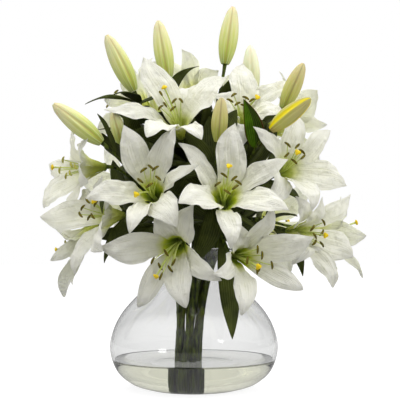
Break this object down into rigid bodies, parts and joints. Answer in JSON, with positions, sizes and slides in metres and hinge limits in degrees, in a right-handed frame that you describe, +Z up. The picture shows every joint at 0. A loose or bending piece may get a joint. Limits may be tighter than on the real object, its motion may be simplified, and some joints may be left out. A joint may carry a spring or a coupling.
{
  "type": "lilies in a vase",
  "caption": "White lilies with buds and dark green leaves, arranged as a round bouquet in a clear bulb-shaped glass vase with shallow water, to stand on a table.",
  "frame": {"origin": "centre of the vase's foot, on the surface that it stands on", "axes": "+Z up along the vase's axis, -Y towards the front that the picture shows, +X to the right as seen from that front"},
  "size_m": [0.391, 0.339, 0.4561],
  "materials": {
    "glass": "clear, smooth blown glass",
    "water": "clear still water, faintly yellow-green",
    "petal": "matt white petals, yellow-green at the throat",
    "stamen": "pale green filaments, olive-brown anthers, yellow stigmas",
    "bud": "satin, yellow-green to cream",
    "leaf_and_stem": "satin dark green"
  },
  "bodies": {
    "root": {"vase": "glass", "water": "water", "stem_back_left": "leaf_and_stem", "stem_back_right": "leaf_and_stem", "stem_front": "leaf_and_stem", "stem_front_left": "leaf_and_stem", "stem_left": "leaf_and_stem", "stem_right": "leaf_and_stem", "stem_top": "leaf_and_stem", "bloom_back_left": "petal", "bloom_back_low_right": "petal", "bloom_back_middle": "petal", "bloom_back_top": "petal", "bloom_back_top_right": "petal", "bloom_centre": "petal", "bloom_far_low_left": "petal", "bloom_far_low_right": "petal", "bloom_far_right": "petal", "bloom_far_top_left": "petal", "bloom_left": "petal", "bloom_low_left": "petal", "bloom_low_right": "petal", "bloom_low_side_left": "petal", "bloom_low_side_right": "petal", "bloom_right": "petal", "bloom_side_left": "petal", "bloom_upper": "petal", "bloom_upper_right": "petal", "stamens_back_left": "stamen", "stamens_back_low_right": "stamen", "stamens_back_middle": "stamen", "stamens_back_top": "stamen", "stamens_back_top_right": "stamen", "stamens_centre": "stamen", "stamens_far_low_left": "stamen", "stamens_far_low_right": "stamen", "stamens_far_right": "stamen", "stamens_far_top_left": "stamen", "stamens_left": "stamen", "stamens_low_left": "stamen", "stamens_low_right": "stamen", "stamens_low_side_left": "stamen", "stamens_low_side_right": "stamen", "stamens_right": "stamen", "stamens_side_left": "stamen", "stamens_upper": "stamen", "stamens_upper_right": "stamen", "bud_1": "bud", "bud_10": "bud", "bud_2": "bud", "bud_3": "bud", "bud_4": "bud", "bud_5": "bud", "bud_6": "bud", "bud_7": "bud", "bud_8": "bud", "bud_9": "bud"}
  },
  "joints": []
}
